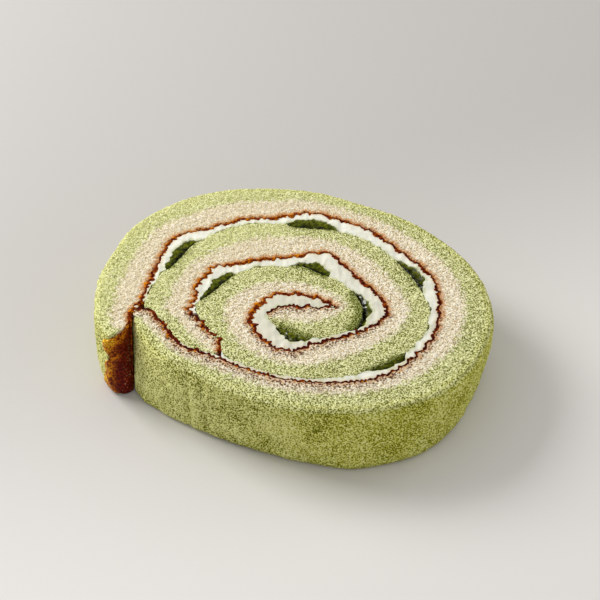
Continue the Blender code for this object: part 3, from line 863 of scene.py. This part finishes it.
rows = np.linspace(THICKNESS - 0.4, 0.4, CRUST_ROWS)
heights = np.concatenate([THICKNESS - np.array([0.02, 0.12]), rows, [0.1]])
paths, beyond = zip(*[flap_path(height) for height in heights])
paths, beyond = np.stack(paths, axis=1), np.stack(beyond, axis=1)
normal = -np.stack([outward(paths[:, row]) for row in range(len(heights))], axis=1)
outer_points = np.concatenate([paths, np.broadcast_to(heights[:, None], (*paths.shape[:2], 1))], axis=2)
wrap = np.interp(heights / THICKNESS, *zip(*WRAP)) + 0.25 * wobble(heights, 1.3, 151)
inside = np.clip((beyond + wrap) / CRUST_EDGE + 0.5, 0, 1)  # 1 inside the scalloped edge, 0 past it
inside = inside * inside * (3 - 2 * inside)
inside = inside * np.clip((beyond[-1:] - beyond) / 1.2, 0, 1)
bumps = soft_lumps(outer_points, ((2.4, 0.20, 152), (0.8, 0.16, 153)))
rounding = np.sqrt(np.clip(np.minimum(THICKNESS - heights, heights) / 0.5, 0.05, 1))
thick = inside * ((CRUST_THICK + bumps) * rounding - 0.25 * (1 - rounding)) - CRUST_DIVE * (1 - inside)
front = outer_points.copy()
front[..., 2] -= 0.7 * CRUST_DIVE * (1 - inside) * heights / THICKNESS
front[..., :2] += normal * thick[..., None]
back_rows = [-1, len(heights) // 2, 0]
back = outer_points[:, back_rows].copy()
back[..., :2] -= normal[:, back_rows] * CRUST_BACK
back[:, -1, 2] -= 0.15 + 1.2 * CRUST_DIVE * (1 - inside[:, 0])
# Painted light and shade with real browning: gold at the left knobs, towards the window lamp, and near
# black towards the crease, partly the crust's own browning.
shade = np.clip((outer_points[..., 0] - CRUST_GOLD_X) / CRUST_WIDTH, 0, 1)
shade = shade - 0.42 * np.clip((heights / THICKNESS - 0.72) / 0.28, 0, 1)
closed_band("flap_crust", np.concatenate([front, back], axis=1), "plain_sponge",
            across=np.concatenate([shade, shade[:, :3]], axis=1))

# %% [markdown]
# ## A dab of cream at the seam
# Where the outer sheet's two ends meet, a little cream was squeezed up. It is a squashed ball.

# %% The dab of cream
DAB_PLACE = (-39.5, -6.6, 19.6)  # mm
DAB_SIZE = (0.95, 0.55, 0.55)  # mm, half of each side
DAB_TURN = math.radians(35)


def squashed_ball(name, place, size, turn, slot):
    """Rings of a ball, from pole to pole, squashed to three half sizes and turned about the vertical."""
    down, round_ = np.meshgrid(np.linspace(0.12, math.pi - 0.12, 16), np.linspace(0, 2 * math.pi, 25)[:-1],
                               indexing="ij")
    ball = np.stack([np.sin(down) * np.cos(round_), np.sin(down) * np.sin(round_), np.cos(down)], axis=2)
    ball = ball * (1 + 0.16 * soft_noise(ball, 0.7, 161))[..., None] * np.array(size)
    c, s = math.cos(turn), math.sin(turn)
    turned = ball @ np.array([[c, s, 0], [-s, c, 0], [0, 0, 1]])
    return closed_band(name, turned + np.array(place), slot, shade=0.0, edge=2.0)


squashed_ball("cream_dab", DAB_PLACE, DAB_SIZE, DAB_TURN, "cream")

# %% [markdown]
# # Finishes
# Each finish is a node material on the Principled shader. The meshes carry a few numbers for each point,
# such as the distance to the colour border or to the skin, and the materials turn them into colour.
# Noise on object coordinates breaks every border up, because nothing baked has a clean edge.


# %% Helpers for node trees
def linear(red, green, blue):
    """A screen colour of 0 to 255 as the linear colour that Blender works with."""
    values = np.array([red, green, blue]) / 255
    return (*np.where(values > 0.04045, ((values + 0.055) / 1.055) ** 2.4, values / 12.92).tolist(), 1.0)


class Finish:
    """A material under construction: makes nodes, and links or sets their sockets."""

    def __init__(self, name):
        self.material = bpy.data.materials.new(name)
        self.material.use_nodes = True
        self.tree = self.material.node_tree
        self.shader = self.tree.nodes["Principled BSDF"]
        self.place = self.node("ShaderNodeTexCoord").outputs["Object"]

    def node(self, kind, sockets=(), **settings):
        """A node with its settings, and its sockets given by name or number."""
        made = self.tree.nodes.new(kind)
        for key, value in settings.items():
            setattr(made, key, value)
        for key, value in dict(sockets).items():
            self.fill(made.inputs[key], value)
        return made

    def fill(self, socket, value):
        """Links a socket to another one, or sets its value."""
        if isinstance(value, bpy.types.NodeSocket):
            self.tree.links.new(value, socket)
        else:
            socket.default_value = value

    def math(self, operation, first, second=0.0, third=0.0):
        sockets = {0: first, 1: second, 2: third}
        return self.node("ShaderNodeMath", sockets, operation=operation).outputs[0]

    def times(self, first, second):
        return self.math("MULTIPLY", first, second)

    def stirred(self, value, noise, amount):
        """A value made uneven: value + amount · (noise - 0.5)."""
        return self.math("MULTIPLY_ADD", self.math("SUBTRACT", noise, 0.5), amount, value)

    def mixed(self, factor, first, second, blend="MIX"):
        """Two colours, mixed by a factor; a colour is a socket or three screen values."""
        first, second = [linear(*c) if isinstance(c, tuple) else c for c in (first, second)]
        sockets = {0: factor, 6: first, 7: second}
        return self.node("ShaderNodeMix", sockets, data_type="RGBA", blend_type=blend).outputs[2]

    def between(self, value, low, high, first, second):
        """The first colour where the value is low, and the second where it is high."""
        return self.mixed(self.ramp(value, low, high), first, second)

    def ramp(self, value, low, high, start=0.0, end=1.0):
        """A value taken smoothly from one range to another."""
        sockets = {"Value": value, 1: low, 2: high, 3: start, 4: end}
        return self.node("ShaderNodeMapRange", sockets, interpolation_type="SMOOTHSTEP").outputs[0]

    def noise(self, size, detail=2.0, roughness=0.5):
        """Noise with lumps of a size in mm."""
        sockets = {"Vector": self.place, "Scale": 1 / (size * MM), "Detail": detail, "Roughness": roughness}
        return self.node("ShaderNodeTexNoise", sockets).outputs[0]

    def cells(self, size):
        """Distance to the nearest of scattered centres, for pores of a size in mm."""
        sockets = {"Vector": self.place, "Scale": 1 / (size * MM)}
        return self.node("ShaderNodeTexVoronoi", sockets).outputs["Distance"]

    def number(self, name):
        """A number that the mesh carries for each point."""
        return self.node("ShaderNodeAttribute", attribute_name=name).outputs["Fac"]

    def bump(self, height, distance, strength=1.0, under=None):
        """Fine relief: the height's slope tilts the surface's direction."""
        sockets = {"Height": height, "Distance": distance * MM, "Strength": strength}
        if under is not None:
            sockets["Normal"] = under
        return self.node("ShaderNodeBump", sockets).outputs[0]

    def finish(self, **sockets):
        """Sets the shader's sockets: colour, roughness and so on."""
        for key, value in sockets.items():
            self.fill(self.shader.inputs[key.replace("_", " ")], value)
        return self.material


# %% [markdown]
# ## Sponge
# The green and the plain crumb share one recipe. A torn border mixes the two colours, a toasted fringe
# follows the skin, and specks of skin lie where the knife dragged them. Pits are painted darker and warmer
# by their depth, as painted shade, and the tips of the crumb paler, partly as painted highlight, which
# gives the grain of the photo at its true size. The wall and the plain crumb are painted lighter or darker
# by place, as painted light and shade.


# %% Sponge crumb
def sponge_finish(name):
    """Green to plain by distance from the border, browned by distance from the skin, then grained.

    Foam is the distance to the nearest pore + noise - a part of the pit's depth. Where it is low there
    is a dark pore, painted shade in the pits, and where it is high a pale tip, partly painted highlight.
    The wall and the plain crumb are also painted lighter or darker by place, as painted light and shade.
    Plan places are in metres.
    """
    f = Finish(name)
    fine, mid, large = f.noise(0.30, 3.0, 0.7), f.noise(1.1, 2.0), f.noise(7.0, 2.0)
    x, y, z = f.node("ShaderNodeSeparateXYZ", {0: f.place}).outputs
    front = f.math("MULTIPLY_ADD", x, 0.7, f.times(y, -1.0))
    on_wall = f.ramp(f.stirred(f.number("wall"), mid, 0.8), 0.1, 1.0)
    cut_green = f.between(mid, 0.3, 0.7, (184, 186, 114), (205, 203, 147))
    # Painted light and shade: the wall is painted paler on the left, where the window lamp falls, and
    # darker, deeper green on the right, in shade.
    wall_green_painted_light = f.between(f.stirred(x, large, 0.03), -0.030, 0.022, (220, 218, 136), (199, 197, 68))
    # Painted shade at the foot: the wall is painted darker and deeper green in its lowest 6 mm, where it
    # meets the floor.
    wall_green_painted_light = f.mixed(f.ramp(z, 0.006, 0.0, 0.0, 0.5), wall_green_painted_light, (172, 172, 44))
    green = f.mixed(on_wall, cut_green, wall_green_painted_light)
    # Painted light and shade: the plain crumb is painted darker at the back left, near the window lamp, and
    # paler towards the front right, against the lamp's falloff.
    plain_painted_shade = f.between(mid, 0.3, 0.7, (206, 191, 156), (216, 203, 170))
    plain_painted_light = f.between(mid, 0.3, 0.7, (222, 210, 180), (232, 221, 194))
    plain = f.between(front, -0.040, 0.030, plain_painted_shade, plain_painted_light)
    to_plain = f.ramp(f.stirred(f.stirred(f.number("layer"), mid, 5.0), fine, 3.0), -1.5, 1.5)
    colour = f.mixed(to_plain, green, plain)
    # Painted shade: pores are painted dark by the pit's depth, the folds' depth included, and more strongly
    # towards the front right, over the crumb's own grain.
    foam = f.stirred(f.cells(0.42), fine, 0.9)
    foam = f.math("MULTIPLY_ADD", f.number("pit"), f.ramp(to_plain, 0.0, 1.0, -0.5, -0.25), foam)
    grain = f.times(f.ramp(front, -0.038, 0.012, 0.65, 1.85), f.ramp(to_plain, 0.0, 1.0, 0.85, 0.75))
    grain = f.times(grain, f.ramp(on_wall, 0.0, 1.0, 1.0, 1.6))
    pores = f.times(f.ramp(foam, 0.48, 0.16), grain)
    pore_green = f.mixed(on_wall, (84, 88, 0), (104, 106, 4))
    colour = f.mixed(pores, colour, f.mixed(to_plain, pore_green, (176, 146, 96)))
    stain = f.ramp(f.stirred(f.stirred(f.number("stain"), mid, 1.6), fine, 1.6), 0.2, 1.0)
    colour = f.mixed(stain, colour, (150, 158, 84), "MULTIPLY")
    # Pale tips where the crumb stands high: partly the crumb's own pale walls, partly painted highlight.
    tips = f.times(f.ramp(foam, 0.50, 0.76, 0.0, 0.9), f.ramp(on_wall, 0.0, 1.0, 1.0, 0.95))
    tips = f.times(tips, f.ramp(front, -0.038, 0.0, 0.8, 1.0))
    tips = f.times(tips, f.ramp(stain, 0.0, 1.0, 1.0, 0.35))
    tip_green = f.mixed(on_wall, (238, 238, 186), (232, 232, 160))
    colour = f.mixed(tips, colour, f.mixed(to_plain, tip_green, (248, 240, 224)))
    toasted = f.ramp(f.stirred(f.stirred(f.number("skin"), fine, 2.4), mid, 2.0), 2.2, 0.5)
    toasted = f.times(f.times(toasted, toasted), f.ramp(f.number("drag"), 0.0, 1.0, 0.68, 0.44))
    colour = f.mixed(toasted, colour, (184, 110, 0))
    reach = f.math("MULTIPLY_ADD", f.number("drag"), 3.6, 0.7)
    dragged = f.ramp(f.math("DIVIDE", f.number("skin"), reach), 1.0, 0.3)
    specks = f.times(f.ramp(f.cells(0.62), 0.56, 0.34), dragged)
    colour = f.mixed(f.times(specks, 0.9), colour, (78, 32, 0))
    bump = f.bump(fine, 0.20, 1.0)
    bump = f.bump(f.ramp(f.cells(0.8), 0.15, 0.45), 0.15, 0.8, bump)
    return f.finish(Base_Color=colour, Roughness=0.86, Normal=bump, Specular_IOR_Level=0.12,
                    Subsurface_Weight=0.06, Subsurface_Radius=(1.0, 0.8, 0.4), Subsurface_Scale=0.0005)


def dress(finish, *names):
    """Puts a material on pieces by name."""
    for name in names:
        bpy.data.objects[name].data.materials.append(finish)
    print(finish.name, "on", ", ".join(names))


dress(sponge_finish("green_sponge_crumb"), "outer_green_crumb", "inner_green_crumb")
dress(sponge_finish("plain_sponge_crumb"), "outer_plain_crumb", "inner_plain_crumb")

# %% [markdown]
# ## Skin, crust, cream and jelly
# Browned skin is nearly black in its middle, brown at the cream and gold where it meets the crumb. Cream
# is dense and lets light in a little way. Jelly is dark, wet and smooth.


# %% Browned skin
def skin_finish():
    """Dark brown where warmth is low and gold where it is high.

    Warmth is noise + a part of the bead and of the lamp side, which is painted light, least along the
    ribbon's middle.
    """
    f = Finish("browned_skin")
    mid, fine = f.noise(0.9, 3.0, 0.6), f.noise(0.35, 2.0)
    # Painted light: the skins are painted warmer on the side of the roll that faces the window lamp.
    warm = f.stirred(f.math("MULTIPLY_ADD", f.number("back"), 0.18, mid), fine, 1.0)
    warm = f.math("ADD", warm, f.ramp(f.number("across"), 0.0, 0.5, 0.2, -0.32))
    warm = f.math("ADD", warm, f.ramp(f.number("across"), 0.75, 1.0, 0.0, 0.15))
    warm = f.math("MULTIPLY_ADD", f.number("swell"), 0.2, warm)
    colour = f.between(warm, 0.12, 0.5, (50, 4, 0), (112, 36, 0))
    colour = f.between(warm, 0.48, 0.82, colour, (204, 124, 4))
    return f.finish(Base_Color=colour, Roughness=0.5, Normal=f.bump(fine, 0.12, 0.8),
                    Specular_IOR_Level=0.03)


dress(skin_finish(), "outer_brown_skin", "inner_brown_skin")


# %% Crust on the flap
def crust_finish():
    """Gold at its left edge, then brown, then a red near black with pale crumbs at the crease; partly its
    own browning, partly painted light at the left and painted shade at the crease, with painted highlights
    in its brightest grain.
    """
    f = Finish("flap_crust_brown")
    mid, fine = f.noise(2.2, 2.0, 0.5), f.noise(0.45, 3.0, 0.6)
    grain = f.noise(0.55, 2.0, 0.7)
    across = f.stirred(f.stirred(f.number("across"), mid, 0.8), fine, 0.5)
    # The brightest grain of the gold and of the brown is painted highlight.
    gold_with_painted_highlight = f.between(grain, 0.42, 0.60, (172, 94, 0), (255, 214, 52))
    brown = f.between(grain, 0.42, 0.62, (112, 36, 0), (228, 138, 6))
    dark = f.between(grain, 0.45, 0.7, (74, 2, 0), (146, 42, 0))
    colour = f.between(across, 0.12, 0.5, gold_with_painted_highlight, brown)
    colour = f.between(across, 0.38, 0.70, colour, dark)
    specks = f.times(f.ramp(f.cells(0.55), 0.26, 0.14), f.ramp(across, 0.75, 1.0, 0.0, 0.8))
    colour = f.mixed(specks, colour, (214, 186, 140))
    bump = f.bump(grain, 0.22, 1.0, f.bump(fine, 0.15, 0.7))
    return f.finish(Base_Color=colour, Roughness=0.40, Normal=bump, Specular_IOR_Level=0.10)


dress(crust_finish(), "flap_crust")


# %% Cream
def cream_finish():
    """Off-white with faint clouds, painted duller towards the core as painted shade, tinged with crumb at
    its torn edge.
    """
    f = Finish("whipped_cream")
    cloud, fine = f.noise(3.0, 2.0), f.noise(0.5, 2.0)
    colour = f.between(cloud, 0.3, 0.7, (213, 212, 198), (229, 228, 215))
    # Painted shade: the cream is painted darker and yellower deeper in the core.
    colour = f.mixed(f.number("shade"), colour, (202, 198, 178))
    torn = f.stirred(f.stirred(f.number("edge"), fine, 1.4), f.noise(1.6, 2.0), 3.2)
    colour = f.mixed(f.ramp(torn, 0.75, 0.0, 0.0, 0.7), colour, (188, 192, 146))
    colour = f.mixed(f.ramp(f.number("skin"), 1.1, 0.3, 0.0, 0.5), colour, (214, 188, 142))
    return f.finish(Base_Color=colour, Roughness=0.42, Normal=f.bump(fine, 0.06, 0.6),
                    Subsurface_Weight=0.35, Subsurface_Radius=(1.0, 0.9, 0.7), Subsurface_Scale=0.0012)


dress(cream_finish(), "cream_between_sheets", "cream_in_core", "cream_thread", "cream_dab")


# %% Jelly
def jelly_finish(name, shine):
    """Cloudy olive, painted nearly black on the low side as painted shade in the pocket, with scattered wet
    spots of the given shine.
    """
    f = Finish(name)
    # Painted shade: the low side of the pocket, and the wet sticks as a whole, are painted darker.
    shade = f.stirred(f.number("low"), f.noise(1.5, 3.0, 0.6), 1.4)
    shade = f.math("ADD", shade, 0.2 * shine)
    colour = f.between(f.noise(0.8, 2.0), 0.35, 0.65, (52, 60, 3), (100, 104, 16))
    colour = f.between(shade, 0.25, 0.95, colour, (9, 11, 0))
    wet = f.ramp(f.noise(1.0, 1.0), 0.55, 0.63, 0.06, shine)
    return f.finish(Base_Color=colour, Roughness=0.18, Normal=f.bump(f.noise(0.7, 2.0), 0.08, 0.5),
                    Specular_IOR_Level=wet)


for name, shine, chosen in (("dull_grape_jelly", 0.15, False), ("wet_grape_jelly", 0.9, True)):
    numbers = [n for n in range(1, len(JELLY) + 1) if (n in WET_STICKS) == chosen]
    dress(jelly_finish(name, shine), *[f"jelly_stick_{number}" for number in numbers])

# %% [markdown]
# # Stage
# The photo looks down on the slice at 42 degrees with a long lens. Soft light comes from the back left,
# so the left wall is bright and the right front falls into shade on a pale floor.

# %% Floor and light
FLOOR_HALF = 1.5  # m


def floor():
    """A pale floor that reaches past the picture's edges, painted darker at the back left, near the window
    lamp, and paler towards the front right: painted shade and light against the lamp's falloff.
    """
    mesh = bpy.data.meshes.new("pale_floor")
    h = FLOOR_HALF
    mesh.from_pydata([(-h, -h, 0), (h, -h, 0), (h, h, 0), (-h, h, 0)], [], [(0, 1, 2, 3)])
    f = Finish("floor_paint_with_painted_light")
    x, y, _ = f.node("ShaderNodeSeparateXYZ", {0: f.place}).outputs
    # Painted light and shade: darker near the window lamp, paler towards the front right.
    forward = f.math("MULTIPLY_ADD", x, 0.55, f.times(y, -1.0))
    colour = f.between(forward, -0.08, 0.08, (180, 177, 174), (218, 215, 212))
    mesh.materials.append(f.finish(Base_Color=colour, Roughness=0.6))
    placed("pale_floor", mesh)


def soft_light(name, place, size, energy, colour):
    """A square lamp at a place in metres that faces the slice."""
    lamp = bpy.data.lights.new(name, "AREA")
    lamp.size, lamp.energy, lamp.color = size, energy, colour
    holder = placed(name, lamp)
    holder.location = place
    holder.rotation_euler = (-Vector(place)).to_track_quat("-Z", "Y").to_euler()


floor()
soft_light("window", (-0.46, 0.25, 0.385), 0.32, 3.95, (1.0, 0.995, 0.98))
soft_light("fill", (0.55, 0.40, 0.25), 0.40, 0.9, (1.0, 0.99, 0.97))
world = bpy.data.worlds.new("studio")
world.use_nodes = True
background = world.node_tree.nodes["Background"].inputs
background["Color"].default_value = (1.0, 1.0, 0.98, 1.0)
background["Strength"].default_value = 0.62
scene.world = world
scene.view_settings.view_transform = "Standard"

# %% Camera
CAMERA_PLACE = (1.5, -324.0, 289.5)  # mm from the plan's zero, the last above the cut face
LOOKS_DOWN = math.radians(42.0)
ROLL = math.radians(1.5)
FOCAL_PIXELS = 1715.0
PICTURE_WIDTH = 600.0  # pixels
view = bpy.data.cameras.new("camera")
view.sensor_width = 36.0
view.lens = view.sensor_width * FOCAL_PIXELS / PICTURE_WIDTH
camera = placed("camera", view)
turn = Matrix.Rotation(math.pi / 2 - LOOKS_DOWN, 4, "X") @ Matrix.Rotation(ROLL, 4, "Z")
place = Vector(CAMERA_PLACE) - Vector((*PLAN_CENTRE, -THICKNESS))
place *= MM
camera.matrix_world = Matrix.Translation(place) @ turn
bpy.context.scene.camera = camera
print("lens in mm:", round(view.lens, 1), "camera at:", [round(v, 4) for v in place])

# %% Print the model's box
print("cad box", [round(v / MM, 2) for v in (*cad_low, *cad_high)])
